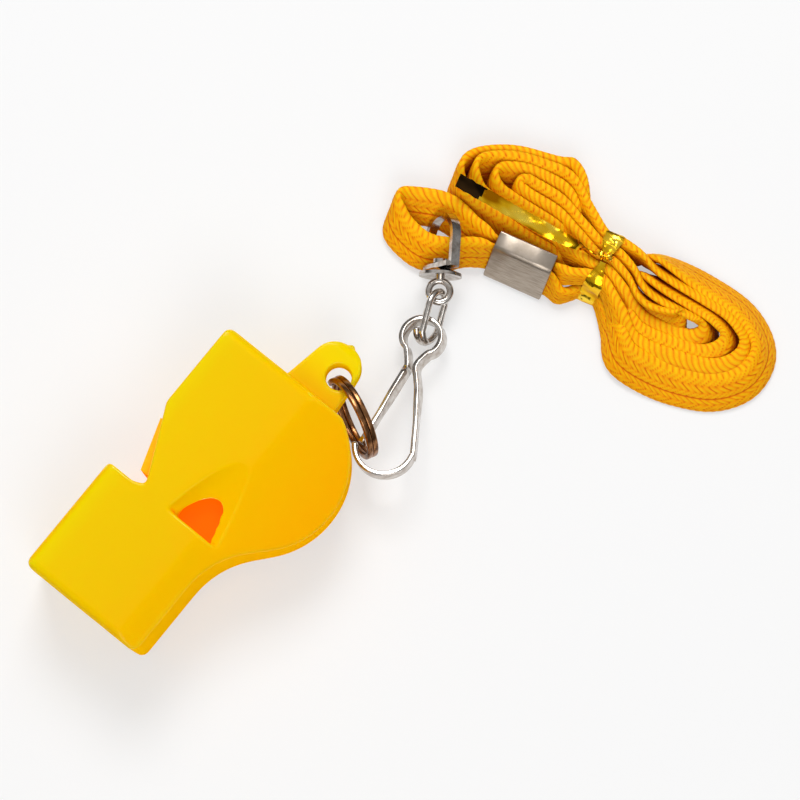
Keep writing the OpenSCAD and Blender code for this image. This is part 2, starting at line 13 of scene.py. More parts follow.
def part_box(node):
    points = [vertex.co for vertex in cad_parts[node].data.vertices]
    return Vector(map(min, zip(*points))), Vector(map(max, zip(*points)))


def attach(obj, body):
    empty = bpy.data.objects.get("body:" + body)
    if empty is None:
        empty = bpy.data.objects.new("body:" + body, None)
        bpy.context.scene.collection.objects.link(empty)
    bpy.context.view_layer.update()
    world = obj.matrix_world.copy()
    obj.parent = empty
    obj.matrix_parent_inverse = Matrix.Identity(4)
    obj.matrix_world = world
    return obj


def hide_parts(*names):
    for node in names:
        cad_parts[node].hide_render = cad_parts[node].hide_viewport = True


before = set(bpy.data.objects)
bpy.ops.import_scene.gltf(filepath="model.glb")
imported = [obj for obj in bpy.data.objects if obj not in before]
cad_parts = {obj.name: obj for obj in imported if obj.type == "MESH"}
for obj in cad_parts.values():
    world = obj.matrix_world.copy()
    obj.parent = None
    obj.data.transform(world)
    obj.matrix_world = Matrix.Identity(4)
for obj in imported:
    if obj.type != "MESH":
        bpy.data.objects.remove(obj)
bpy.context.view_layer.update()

MM = 0.001


def polar(r, degrees):
    return np.array([r * math.cos(math.radians(degrees)), r * math.sin(math.radians(degrees))])


def unit(v):
    v = np.asarray(v, float)
    return v / np.linalg.norm(v)


def mix(a, b, s):
    return a + (b - a) * s


def smooth(x):
    x = np.clip(x, 0, 1)
    return x * x * (3 - 2 * x)


# Camera at the photograph's viewing angle

CAMERA_AZIMUTH = math.radians(-51.1)
CAMERA_ELEVATION = math.radians(82)
CAMERA_DISTANCE = 450
CAMERA_TARGET = Vector((20.24, -11.75, 19))
CAMERA_LENS = 133.85
CAMERA_CLIP = 10


def add_camera():
    flat = math.cos(CAMERA_ELEVATION)
    back = Vector((math.sin(CAMERA_AZIMUTH) * flat, -math.cos(CAMERA_AZIMUTH) * flat,
                   math.sin(CAMERA_ELEVATION)))
    right = Vector((math.cos(CAMERA_AZIMUTH), math.sin(CAMERA_AZIMUTH), 0))
    camera = bpy.data.objects.new("camera", bpy.data.cameras.new("camera"))
    camera.data.lens = CAMERA_LENS
    camera.data.clip_start = CAMERA_CLIP * MM
    turn = Matrix((right, back.cross(right), back)).transposed().to_4x4()
    camera.matrix_world = Matrix.Translation((CAMERA_TARGET + back * CAMERA_DISTANCE) * MM) @ turn
    bpy.context.scene.collection.objects.link(camera)
    bpy.context.scene.camera = camera


add_camera()


# Cord: the route of the part's source in the hank's frame, as [u, v, z, height, share of the lobe's flare]

CORD_W = 6
CORD_T = 0.8
SOFT_T = 1.5
BAND_TILT = math.radians(33)
LEAN = math.tan(BAND_TILT)
BAND_H = CORD_W * math.cos(BAND_TILT)
TUBE_GAP = 0.45
ROW_H = (BAND_H - TUBE_GAP) / 2
HANK_AT = np.array([56.2, -22.3, 0])
HANK_PLAN = math.radians(-75.5)
HANK_U = np.array([math.cos(HANK_PLAN), math.sin(HANK_PLAN), 0])
HANK_V = np.array([-math.sin(HANK_PLAN), math.cos(HANK_PLAN), 0])
LOBE_LOW = 0.2
WAIST_LOW = 0.7
TIE_W = 2.6
WAIST_HALF = TIE_W / 2
WAIST_STEP = 1.72
FOLDS = 5
SLOTS = 2 * FOLDS
NEST_RISE = 1.3
BEND_SHARE = 1.6
INNERMOST = 0.5
REACH_POWER = 1.35
LEG_RINGS = 3
BEND_RINGS = 6
FOLD_RINGS = 2 * LEG_RINGS + BEND_RINGS
LEG_FLARE_SHARE = 0.7
BEND_FLARE_SHARE = 0.35
ORDER = [0, 9, 2, 7, 4, 5, 6, 3, 8, 1]  # the waist's slots, as the cord passes through them
RIGHT = {"v": -3.2, "step": 1.8, "end_step": 1.8, "fan": 7.5, "short": 14, "long": 27.8, "skew": 0,
         "most": FOLDS - INNERMOST}
LEFT = {"v": 11.6, "step": 1.95, "end_step": 1.72, "fan": 9, "short": 16, "long": 25, "skew": 0.4,
        "most": FOLDS - 1 - INNERMOST}
RIGHT_MID = [7.3, -3.2]
FLARE = 0.9
DROOP = 0.38
CRIMP_L = 9.8
CRIMP_SHEET = 0.4
CRIMP_GAP = 0.12
CRIMP_AT = [-11.7, -5.05, 3.4]
LAYER_STEP = CORD_T + TUBE_GAP / math.cos(BAND_TILT)
LOOP_L = 17
LOOP_W = 4.3
LOOP_LIFT = 1.05
LOOP_FLARE = 11
LOOP_RISE_L = 6
LOOP_RINGS = 20
LOOP_ROUND = 0.85
LOOP_LEAN = -1.6
LEAD_RINGS = 5


def on_hank(p):
    """Points [u, v, z] of the hank's frame, which leans over with z, in the part's frame."""
    p = np.asarray(p, float)
    u, v, z = p[..., 0:1], p[..., 1:2], p[..., 2:3]
    return HANK_AT + HANK_U * u + HANK_V * (v + z * LEAN) + np.array([0, 0, 1]) * z


def waist_v(i):
    """Where slot i lies across the waist, which holds two rows of runs."""
    return (math.floor(i / 2) - (FOLDS - 1) / 2) * WAIST_STEP


def waist_z(i):
    """The height of slot i's run: the lower or the upper row."""
    if i < FOLDS:
        row = -1 if i % 2 == 0 else 1
    else:
        row = -1 if i % 2 == 1 and i != FOLDS else 1
    return WAIST_LOW + BAND_H / 2 + row * (ROW_H + TUBE_GAP) / 2


def lobe_v(s, side, is_leg):
    """Where slot s lies across the right or the left lobe."""
    if side > 0:
        return RIGHT["v"] + (s - (SLOTS - 1) / 2) * RIGHT["step"]
    return LEFT["v"] - (SLOTS - 1 - s) * LEFT["step" if is_leg else "end_step"]


def reach(r, lobe):
    """How far a fold of radius r, in slots, goes out from the waist."""
    k = (r - INNERMOST) / (lobe["most"] - INNERMOST)
    return mix(lobe["short"], lobe["long"], 1 - (1 - k) ** REACH_POWER)


def fold(i, j, side):
    """The fold from slot i to slot j: a leg that fans out, a bend and a leg back."""
    lobe = RIGHT if side > 0 else LEFT
    c, r = (i + j) / 2, (j - i) / 2
    bend = abs(r) * lobe["step"] * BEND_SHARE
    leg = reach(abs(r), lobe) - bend
    rings = []
    for k in range(FOLD_RINGS):
        a = math.pi * min(BEND_RINGS - 1, max(0, k - LEG_RINGS)) / (BEND_RINGS - 1)
        spread = min(LEG_RINGS - 1, k, FOLD_RINGS - 1 - k) / (LEG_RINGS - 1)
        is_leg = k < LEG_RINGS or k >= LEG_RINGS + BEND_RINGS
        s = c - r * math.cos(a)
        if is_leg:
            out, z, height, flare = lobe["fan"] * spread, waist_z(s), ROW_H, LEG_FLARE_SHARE
        else:
            out = leg + bend * math.sin(a) - (s - c) * lobe["step"] * lobe["skew"]
            z = LOBE_LOW + BAND_H / 2 + (lobe["most"] - abs(r)) * NEST_RISE
            height, flare = BAND_H, min(1, BEND_FLARE_SHARE * (1 + abs(r)))
        v = mix(waist_v(s), lobe_v(s, side, is_leg), spread)
        rings.append([side * (WAIST_HALF + out), v, z, height, side * flare * spread])
    return rings


def lead(i, layer):
    """Out of the crimp's inner end to slot i of the waist."""
    u, v, z = CRIMP_AT[0], CRIMP_AT[1] + layer * LAYER_STEP / 2, CRIMP_AT[2]
    out_u = u + CRIMP_L / 2
    rings = [[u, v, z, BAND_H, 0]]
    for k in range(LEAD_RINGS):
        s = k / (LEAD_RINGS - 1)
        rings.append([mix(out_u, -WAIST_HALF, s), mix(v, waist_v(i), smooth(2 * s - 1)),
                      mix(z, waist_z(i), smooth(2 * s)), mix(BAND_H, ROW_H, smooth(2 * s)), 0])
    return rings


def small_loop():
    """Out of the crimp's other end, through the D-ring and back."""
    u, v, z = CRIMP_AT
    rings = [[u, v - LAYER_STEP / 2, z, BAND_H, 0]]
    for k in range(LOOP_RINGS + 1):
        a = math.pi * k / LOOP_RINGS
        out = LOOP_L * math.sin(a) ** LOOP_ROUND
        flare = smooth(out / LOOP_FLARE)
        rings.append([u - CRIMP_L / 2 - out, v - math.cos(a) * mix(LAYER_STEP / 2, LOOP_W, flare),
                      z + LOOP_LIFT * smooth(out / LOOP_RISE_L), BAND_H, LOOP_LEAN * flare])
    rings.append([u, v + LAYER_STEP / 2, z, BAND_H, 0])
    return rings


def whole_cord():
    """The cord's route: from its joint in the crimp round the small loop, then through the hank and back."""
    hank = lead(0, -1)
    for k in range(2 * FOLDS - 1):
        hank += fold(ORDER[k], ORDER[k + 1], 1 if k % 2 == 0 else -1)
    hank += lead(1, 1)[::-1]
    return np.array(small_loop()[::-1] + hank[1:-1])


CURVE_STEP = 0.1


def through(points, step):
    """A smooth curve through points, resampled at even steps."""
    p = np.asarray(points, float)
    p = np.vstack([2 * p[0] - p[1], p, 2 * p[-1] - p[-2]])
    fine = []
    for i in range(1, len(p) - 2):
        a, b, c, d = p[i - 1:i + 3]
        for t in np.arange(0, 1, CURVE_STEP):
            fine.append(0.5 * (2 * b + (c - a) * t + (2 * a - 5 * b + 4 * c - d) * t ** 2
                               + (3 * b - 3 * c + d - a) * t ** 3))
    fine = np.array(fine + [p[-2]])
    walked = np.concatenate([[0], np.cumsum(np.linalg.norm(np.diff(fine[:, :3], axis=0), axis=1))])
    at = np.linspace(0, walked[-1], max(2, int(round(walked[-1] / step)) + 1))
    return np.stack([np.interp(at, walked, fine[:, k]) for k in range(fine.shape[1])], axis=1), at


def add_mesh(name, points, faces, shade=True):
    """A mesh object from points in mm."""
    mesh = bpy.data.meshes.new(name)
    places = (np.asarray(points, float) * MM).tolist()
    mesh.from_pydata(places, [], [tuple(int(i) for i in f) for f in faces])
    mesh.validate()
    tidy = bmesh.new()
    tidy.from_mesh(mesh)
    bmesh.ops.recalc_face_normals(tidy, faces=tidy.faces)
    tidy.to_mesh(mesh)
    tidy.free()
    if shade:
        mesh.polygons.foreach_set("use_smooth", [True] * len(mesh.polygons))
    piece = bpy.data.objects.new(name, mesh)
    bpy.context.scene.collection.objects.link(piece)
    return piece


def tube_faces(rings, sides, capped=True):
    """The faces between rings of points, and the two ends."""
    faces = []
    for i in range(rings - 1):
        for j in range(sides):
            k = (j + 1) % sides
            faces.append([i * sides + j, i * sides + k, (i + 1) * sides + k, (i + 1) * sides + j])
    if capped:
        faces.append(list(range(sides))[::-1])
        faces.append([(rings - 1) * sides + j for j in range(sides)])
    return faces


BRAID_STEP = 0.3
BRAID_COLUMNS = 6
BRAID_PITCH = 1.05
BRAID_SLANT = 1.5
BRAID_DEPTH = 0.14
STRAND_ROUND = 0.7
SEAM_SHARP = 0.3
FACE_POINTS = 32
EDGE_POWER = 4
WOBBLE = 0.12
WOBBLE_RATE = 0.13
WOBBLE_SEED = 3.1
UPHILL_FLARE = 0.6
SPREAD_FROM = 0.3
SPREAD_TO = 0.5
CRIMP_EASE = 2
EVEN_STEPS = 9
PATH_STEP = 10


def slump_of(centre, across):
    """How far a band leans per mm of its height: outwards on the right, over to one side on the left."""
    outwards = np.sign(np.sum(across * (centre[:, :2] - RIGHT_MID), axis=1))
    uphill = np.clip(outwards * across[:, 1], 0, 1)
    flare = FLARE * (1 + UPHILL_FLARE * uphill) * np.clip(centre[:, 4], 0, 1) * outwards
    right = -flare[:, None] * across
    left = (DROOP * np.clip(-centre[:, 4], 0, 2) * across[:, 1])[:, None] * across
    return right + left


def evened(values):
    """Values along the cord, averaged over their neighbours."""
    kernel = np.hanning(2 * EVEN_STEPS + 3)[1:-1]
    padded = np.pad(values, ((EVEN_STEPS, EVEN_STEPS),) + ((0, 0),) * (values.ndim - 1), mode="edge")
    columns = padded.reshape(len(padded), -1).T
    even = np.stack([np.convolve(c, kernel / kernel.sum(), mode="valid") for c in columns], axis=1)
    return even.reshape(values.shape)


def band_of(centre, across):
    """The cord as a leaning band: its slump, upright height, middle, thickness and share of crimping."""
    slump = evened(slump_of(centre, across))
    tilt = np.sqrt(1 + np.sum((slump + [0, LEAN]) * across, axis=1) ** 2)
    spread = np.clip((np.abs(centre[:, 4]) - SPREAD_FROM) / (SPREAD_TO - SPREAD_FROM), 0, 1)
    opened = np.maximum(spread, np.clip((centre[:, 3] - ROW_H) / (BAND_H - ROW_H), 0, 1))
    tall = evened(mix(ROW_H, CORD_W / tilt, opened))
    foot = centre[:, 2] - centre[:, 3] / 2
    middle = evened(mix(foot, np.minimum(foot, WAIST_LOW), spread)) + tall / 2
    crimped = smooth((CRIMP_L / 2 + CRIMP_EASE - np.abs(centre[:, 0] - CRIMP_AT[0])) / CRIMP_EASE)
    crimped *= np.abs(centre[:, 1] - CRIMP_AT[1]) < CRIMP_EASE
    thick = mix(SOFT_T, CORD_T / tilt, crimped) * tilt
    return slump, tall, middle, thick, crimped


def braid_of(at, face, side):
    """How far each point stands out of the grooves between the strands, from 0 to 1."""
    column = (face + 1) / 2 * BRAID_COLUMNS
    slant = np.where(np.floor(column) % 2 == 0, 1, -1) * (column % 1 - 0.5) * BRAID_SLANT
    phase = at[:, None] / BRAID_PITCH + slant[None, :] + (side[None, :] > 0) * 0.5
    seam = np.abs(np.sin(np.pi * np.clip(column, 0.5, BRAID_COLUMNS - 0.5))) ** SEAM_SHARP
    return np.abs(np.sin(np.pi * phase)) ** STRAND_ROUND * seam[None, :]


def add_cord():
    """The flat cord as one tube with chevron strands on both faces, with its path and its length."""
    centre, at = through(whole_cord(), BRAID_STEP)
    along = np.gradient(centre[:, :2], axis=0)
    along /= np.linalg.norm(along, axis=1)[:, None]
    across = np.stack([-along[:, 1], along[:, 0]], axis=1)
    slump, tall, middle, thick, crimped = band_of(centre, across)
    share = np.linspace(-1, 1, FACE_POINTS + 1)
    face = np.concatenate([share, share[-2:0:-1]])
    side = np.concatenate([np.ones(FACE_POINTS + 1), -np.ones(FACE_POINTS - 1)])
    swell = np.sqrt(1 - np.abs(face) ** EDGE_POWER)
    strand = braid_of(at, face, side)
    half_t = (thick[:, None] / 2 + (strand - 1) * BRAID_DEPTH) * swell[None, :]
    wave = np.array([noise.noise(Vector((s * WOBBLE_RATE, WOBBLE_SEED, 0))) for s in at])
    wave *= WOBBLE * (1 - crimped)
    height = face[None, :] * tall[:, None] / 2 + wave[:, None]
    uv = centre[:, None, :2] + across[:, None, :] * (side * half_t)[..., None]
    uv = uv + slump[:, None] * height[..., None]
    points = on_hank(np.concatenate([uv, (middle[:, None] + height)[..., None]], axis=2))
    piece = add_mesh("lanyard_cord", points.reshape(-1, 3), tube_faces(len(centre), len(face)))
    groove = piece.data.color_attributes.new("strand", "FLOAT_COLOR", "POINT")
    value = np.repeat(strand.reshape(-1, 1), 4, axis=1)
    value[:, 3] = 1
    groove.data.foreach_set("color", value.astype(np.float32).ravel())
    return piece, on_hank(centre[::PATH_STEP, :3]) * MM, at[-1]


cord, cord_path, cord_length = add_cord()


# Materials

def node(tree, kind, **values):
    """A shader node with its inputs set by name."""
    made = tree.nodes.new(kind)
    for name, value in values.items():
        if name in made.bl_rna.properties and not made.bl_rna.properties[name].is_readonly:
            setattr(made, name, value)
        else:
            made.inputs[name.replace("_", " ")].default_value = value
    return made


def ramp(tree, source, stops):
    made = tree.nodes.new("ShaderNodeValToRGB")
    spots = made.color_ramp.elements
    while len(spots) < len(stops):
        spots.new(0.5)
    for spot, (place, colour) in zip(spots, stops):
        spot.position = place
        spot.color = (*colour, 1)
    tree.links.new(source, made.inputs["Fac"])
    return made.outputs["Color"]


def material(name):
    made = bpy.data.materials.new(name)
    made.use_nodes = True
    tree = made.node_tree
    shader = tree.nodes["Principled BSDF"]
    return made, tree, shader


def set_inputs(shader, **values):
    """Sets a shader's own sockets by name, with underscores for spaces."""
    for name, value in values.items():
        shader.inputs[name.replace("_", " ")].default_value = value


def noise_at(tree, scale, detail=3.0, stretch=(1, 1, 1)):
    """Noise in the piece's own coordinates; scale is in cycles per metre."""
    place = node(tree, "ShaderNodeTexCoord")
    scaled = node(tree, "ShaderNodeMapping", Scale=stretch)
    tree.links.new(place.outputs["Object"], scaled.inputs["Vector"])
    made = node(tree, "ShaderNodeTexNoise", Scale=scale, Detail=detail)
    tree.links.new(scaled.outputs["Vector"], made.inputs["Vector"])
    return made.outputs["Fac"]


def bump(tree, shader, height, strength, distance):
    made = node(tree, "ShaderNodeBump", Strength=strength, Distance=distance)
    tree.links.new(height, made.inputs["Height"])
    tree.links.new(made.outputs["Normal"], shader.inputs["Normal"])


def parts_of(tree, vector):
    """The X, Y and Z sockets of a vector."""
    made = node(tree, "ShaderNodeSeparateXYZ")
    tree.links.new(vector, made.inputs["Vector"])
    return made.outputs


def combined(tree, operation, *values):
    """A maths node's result; each value is a socket or a number."""
    made = node(tree, "ShaderNodeMath", operation=operation)
    for place, value in zip(made.inputs, values):
        if isinstance(value, (int, float)):
            place.default_value = value
        else:
            tree.links.new(value, place)
    return made.outputs[0]


def mapped(tree, value, span, to=(0, 1)):
    """A value's way through a span, clamped to its ends, as a number between the two that to gives."""
    made = node(tree, "ShaderNodeMapRange", From_Min=span[0], From_Max=span[1], To_Min=to[0], To_Max=to[1])
    tree.links.new(value, made.inputs["Value"])
    return made.outputs["Result"]


def blended(tree, share, a, b):
    """A colour between a and b; each is a socket or three numbers."""
    made = node(tree, "ShaderNodeMix", data_type="RGBA")
    tree.links.new(share, made.inputs["Factor"])
    for name, colour in (("A", a), ("B", b)):
        if isinstance(colour, tuple):
            made.inputs[name].default_value = (*colour, 1)
        else:
            tree.links.new(colour, made.inputs[name])
    return made.outputs["Result"]


# Spans of the plastic's masks: pointiness is 0.5 on a plane, more on an edge and less in a hollow

RIDGE = (0.505, 0.55)
HOLLOW = (0.494, 0.455)
OFF_WALL = (0.03, 0.2)
UPPER_EDGE = (0.25, 0.6)
LEVEL_FACE = (0.985, 0.999)
BACK_FACE = (0.2, 0.6)
LUG_X = (12.5 * MM, 19 * MM)
LEVEL_GLOSS = 0.15
# Painted shade on walls that face +Y.
BACK_WALL_SHADE = (0.88, 0.52, 0.0)
# Painted glow: the colour of the emission that stands in for light through the translucent walls.
PAINTED_GLOW = (1, 0.36, 0, 1)


def plastic_material(name, tones, gloss, glow, painted_light=None, hollow_shade=None):
    """Translucent moulded plastic with painted light and shade: tones go up along Y, lighter at the top and
    deeper orange at the belly, thin edges and the lug are painted light, walls that face +Y take a deeper
    painted shade and hollows a painted deep orange shade.

    glow is a painted glow: an emission that stands in for the light that comes through the walls and through
    the two flat sides.
    """
    made, tree, shader = material(name)
    coordinates = node(tree, "ShaderNodeTexCoord")
    place, facing = (parts_of(tree, coordinates.outputs[kind]) for kind in ("Object", "Normal"))
    pointed = node(tree, "ShaderNodeNewGeometry").outputs["Pointiness"]
    level = combined(tree, "ABSOLUTE", facing["Z"])
    ridge = combined(tree, "MULTIPLY", mapped(tree, pointed, RIDGE), mapped(tree, level, OFF_WALL))
    low, high = tones[0][0] * MM, tones[-1][0] * MM
    # Painted light and shade: the tone runs along Y, lighter at the top and deeper orange at the belly.
    body = ramp(tree, mapped(tree, place["Y"], (low, high)),
                [((y * MM - low) / (high - low), colour) for y, colour in tones])
    if painted_light:
        # Painted shade: walls that face +Y take a deeper orange.
        body = blended(tree, mapped(tree, facing["Y"], BACK_FACE), body, BACK_WALL_SHADE)
        # Painted light: the lug and the ridges of the edges take the lighter tone.
        body = blended(tree, mapped(tree, place["X"], LUG_X), body, painted_light)
        body = blended(tree, ridge, body, painted_light)
        # Painted shade: hollows go deep orange.
        body = blended(tree, mapped(tree, pointed, HOLLOW), body, hollow_shade)
    tree.links.new(body, shader.inputs["Base Color"])
    flat = combined(tree, "MULTIPLY", mapped(tree, level, LEVEL_FACE), LEVEL_GLOSS)
    upper = combined(tree, "MULTIPLY", mapped(tree, level, UPPER_EDGE), ridge)
    shine = combined(tree, "MULTIPLY", combined(tree, "MAXIMUM", flat, upper), gloss)
    tree.links.new(shine, shader.inputs["Specular IOR Level"])
    # Painted glow: emission stands in for light through the walls and flat sides.
    tree.links.new(mapped(tree, level, (0, 1), glow), shader.inputs["Emission Strength"])
    set_inputs(shader, Emission_Color=PAINTED_GLOW, Roughness=0.2, Subsurface_Weight=0.3,
               Subsurface_Radius=(1, 0.45, 0.05), Subsurface_Scale=2 * MM)
    bump(tree, shader, noise_at(tree, 160, 2), 0.12, 0.2 * MM)
    return made


DULL_SHARE = 1.5
BRIGHT_SHARE = 0.7


def metal_material(name, colour, dark, roughness, stretch=(1, 1, 1), scale=900, lines=0.15):
    """Plated metal with faint drawing lines and duller spots."""
    made, tree, shader = material(name)
    spots = noise_at(tree, scale, 4, stretch)
    tree.links.new(ramp(tree, spots, [(0.3, dark), (0.62, colour)]), shader.inputs["Base Color"])
    rough = mapped(tree, spots, (0, 1), (roughness * DULL_SHARE, roughness * BRIGHT_SHARE))
    tree.links.new(rough, shader.inputs["Roughness"])
    set_inputs(shader, Metallic=1)
    bump(tree, shader, spots, lines, 0.05 * MM)
    return made


# Painted shade and light on the braid: deep orange in the grooves between strands, lighter on the crowns.
STRAND_SHADE_TONES = [(0.1, (0.75, 0.13, 0.0)), (0.5, (1.0, 0.36, 0.0)), (0.9, (1.0, 0.56, 0.002))]
WORN_TONES = [(0.35, (0.95, 0.88, 0.8)), (0.65, (1, 1, 1))]
# Painted shade in folds and nooks, mixed in by ambient occlusion.
NOOK = (0.12, 0.6)
NOOK_SHADE_TONE = (0.42, 0.05, 0.0)


def cord_material(name):
    """Polyester braid: painted light on the crowns, painted shade in deep orange between the strands and,
    from ambient occlusion, in the folds, and fine fibres.
    """
    made, tree, shader = material(name)
    strand = node(tree, "ShaderNodeVertexColor", layer_name="strand")
    patch = node(tree, "ShaderNodeMix", data_type="RGBA", blend_type="MULTIPLY", Factor=1)
    # Painted shade: the strand relief darkens the grooves between strands.
    tree.links.new(ramp(tree, strand.outputs["Color"], STRAND_SHADE_TONES), patch.inputs["A"])
    tree.links.new(ramp(tree, noise_at(tree, 900, 2), WORN_TONES), patch.inputs["B"])
    # Painted shade: ambient occlusion darkens nooks and folds to a deep red-orange.
    nook_shade = node(tree, "ShaderNodeAmbientOcclusion", samples=4, Distance=3 * MM)
    tone = blended(tree, mapped(tree, nook_shade.outputs["AO"], NOOK), NOOK_SHADE_TONE, patch.outputs["Result"])
    tree.links.new(tone, shader.inputs["Base Color"])
    set_inputs(shader, Roughness=0.62, Specular_IOR_Level=0.1, Subsurface_Weight=0.1,
               Subsurface_Radius=(1, 0.4, 0.05), Subsurface_Scale=0.6 * MM)
    bump(tree, shader, noise_at(tree, 7000, 2, (1, 1, 0.3)), 0.25, 0.06 * MM)
    return made


def foil_material(name, tones, roughness):
    """Metallised film, mirror bright, with long soft creases; its colour, laid by noise, is painted light:
    highlights and crease shade on the gold, a dark reflection on the tip.
    """
    made, tree, shader = material(name)
    tree.links.new(ramp(tree, noise_at(tree, 420, 2, (1, 0.35, 1)), tones), shader.inputs["Base Color"])
    set_inputs(shader, Metallic=1, Roughness=roughness)
    bump(tree, shader, noise_at(tree, 700, 1, (1, 0.4, 1)), 0.5, 0.3 * MM)
    return made


# Painted light and shade on the whistle: lighter lime-yellow towards the top (Y up), deeper orange towards
# the belly.
PLASTIC_SHADING_TONES = [(-14, (0.94, 0.43, 0.001)), (-6, (0.92, 0.48, 0.001)), (3, (0.87, 0.53, 0.0)),
                 (13, (0.86, 0.57, 0.0)), (16.5, (0.84, 0.66, 0.0))]
# Painted shade in the chamber: deep red-orange below Y 8 mm, plainer orange above.
CHAMBER_SHADE_TONES = [(8, (1.0, 0.05, 0.0)), (12, (0.95, 0.42, 0.01))]
# Painted highlights and crease shade on the gold foil, laid by noise.
FOIL_SHEEN_AND_SHADE_TONES = [(0.36, (0.45, 0.16, 0.0)), (0.5, (0.92, 0.52, 0.01)), (0.68, (1.0, 0.72, 0.08))]
# Painted dark reflection on the foil's tip: near-black.
TIP_REFLECTION_TONES = [(0.4, (0.01, 0.006, 0.003)), (0.6, (0.06, 0.03, 0.01))]
# Painted light: the lighter lime tone of thin edges and of the lug.
EDGE_LIGHT_TONE = (0.85, 0.64, 0.0)
# Painted shade: the deep orange of hollows.
HOLLOW_SHADE_TONE = (1.0, 0.2, 0.0)
PLASTIC = plastic_material("whistle_plastic", PLASTIC_SHADING_TONES, gloss=0.5, glow=(0.22, 0), painted_light=EDGE_LIGHT_TONE,
                           hollow_shade=HOLLOW_SHADE_TONE)
# The chamber core's plastic, with painted shade and a painted glow.
PLASTIC_SHADED_CHAMBER = plastic_material("chamber_plastic_shaded", CHAMBER_SHADE_TONES, gloss=0.05, glow=(0.15, 0.3))
NICKEL = metal_material("nickel", (0.66, 0.62, 0.58), (0.38, 0.32, 0.27), roughness=0.15)
SATIN = metal_material("satin_nickel", (0.47, 0.4, 0.33), (0.34, 0.28, 0.22), roughness=0.32,
                       stretch=(1, 1, 12), scale=500, lines=0.3)
BRONZE = metal_material("bronze", (0.36, 0.17, 0.07), (0.1, 0.04, 0.015), roughness=0.22)
BRAID = cord_material("braid")
FOIL = foil_material("gold_foil", FOIL_SHEEN_AND_SHADE_TONES, roughness=0.17)
FOIL_TIP_DARK_REFLECTION = foil_material("gold_foil_tip_dark_reflection", TIP_REFLECTION_TONES, roughness=0.08)


def dress(piece, finish, body, slot, *nodes):
    """Gives a piece its material and its body and hides the CAD nodes that it stands for; slot is not used.
    """
    piece.data.materials.clear()
    piece.data.materials.append(finish)
    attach(piece, body)
    if nodes:
        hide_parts(*nodes)
    return piece


BEVEL_ANGLE = math.radians(35)
BEVEL_STEPS = 3


def keep(name, finish, bevel=0.0):
    """A CAD node that stays: its material and, where bevel gives a width in mm, softened edges."""
    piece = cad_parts[name]
    piece.data.materials.clear()
    piece.data.materials.append(finish)
    if bevel:
        soften = piece.modifiers.new("soft_edges", "BEVEL")
        soften.width = bevel * MM
        soften.segments = BEVEL_STEPS
        soften.limit_method = "ANGLE"
        soften.angle_limit = BEVEL_ANGLE
        soften.harden_normals = False
    return piece


dress(cord, BRAID, "lanyard", "cord", "lanyard_loop", "lanyard_hank")


# Whistle: the two shells as one moulding with rounded edges, cut again at their weld

BODY_W = 19
HALF_W = BODY_W / 2
VOXEL = 0.2
ROUNDING = 30
RELAX_SHARE = 0.5
CUT_MARGIN = 1
SHARP_ANGLE = math.radians(50)


def applied(piece):
    """Replaces the piece's mesh by the one that its modifiers make."""
    graph = bpy.context.evaluated_depsgraph_get()
    mesh = bpy.data.meshes.new_from_object(piece.evaluated_get(graph))
    piece.modifiers.clear()
    piece.data = mesh
    return piece


def block(name, low, high):
    """A plain box used as a cutter."""
    corners = [(x, y, z) for x in (low[0], high[0]) for y in (low[1], high[1]) for z in (low[2], high[2])]
    faces = [(0, 1, 3, 2), (4, 6, 7, 5), (0, 4, 5, 1), (2, 3, 7, 6), (0, 2, 6, 4), (1, 5, 7, 3)]
    return add_mesh(name, corners, faces, shade=False)


def rounded_copy(name, nodes):
    """CAD nodes joined, remeshed finely and relaxed, so that their edges are as round as moulded ones."""
    shape = bmesh.new()
    for n in nodes:
        shape.from_mesh(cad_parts[n].data)
    mesh = bpy.data.meshes.new(name)
    shape.to_mesh(mesh)
    shape.free()
    piece = bpy.data.objects.new(name, mesh)
    bpy.context.scene.collection.objects.link(piece)
    remesh = piece.modifiers.new("remesh", "REMESH")
    remesh.mode = "VOXEL"
    remesh.voxel_size = VOXEL * MM
    relax = piece.modifiers.new("relax", "SMOOTH")
    relax.factor = RELAX_SHARE
    relax.iterations = ROUNDING
    return applied(piece)


def add_shells():
    """Both half shells, cut from one rounded shape at the weld."""
    low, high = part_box("lower_housing")[0] / MM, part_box("upper_housing")[1] / MM
    margin = Vector((CUT_MARGIN, CUT_MARGIN, CUT_MARGIN))
    low, high = low - margin, high + margin
    whole = rounded_copy("whistle_whole", ["lower_housing", "upper_housing"])
    for name, node_name, z0, z1 in (("shell_lower", "lower_housing", low.z, HALF_W),
                                    ("shell_upper", "upper_housing", HALF_W, high.z)):
        cutter = block("cutter", (low.x, low.y, z0), (high.x, high.y, z1))
        shell = whole.copy()
        shell.data = whole.data.copy()
        shell.name = name
        bpy.context.scene.collection.objects.link(shell)
        cut = shell.modifiers.new("cut", "BOOLEAN")
        cut.operation = "INTERSECT"
        cut.solver = "MANIFOLD"
        cut.object = cutter
        bpy.context.view_layer.update()
        applied(shell)
        shell.data.polygons.foreach_set("use_smooth", [True] * len(shell.data.polygons))
        shell.data.set_sharp_from_angle(angle=SHARP_ANGLE)
        dress(shell, PLASTIC, "whistle", "whistle_plastic", node_name)
        bpy.data.objects.remove(cutter)
    bpy.data.objects.remove(whole)


add_shells()
keep("chamber_core", PLASTIC_SHADED_CHAMBER)


# Metal pieces: strips and wires swept along the routes of the part's source

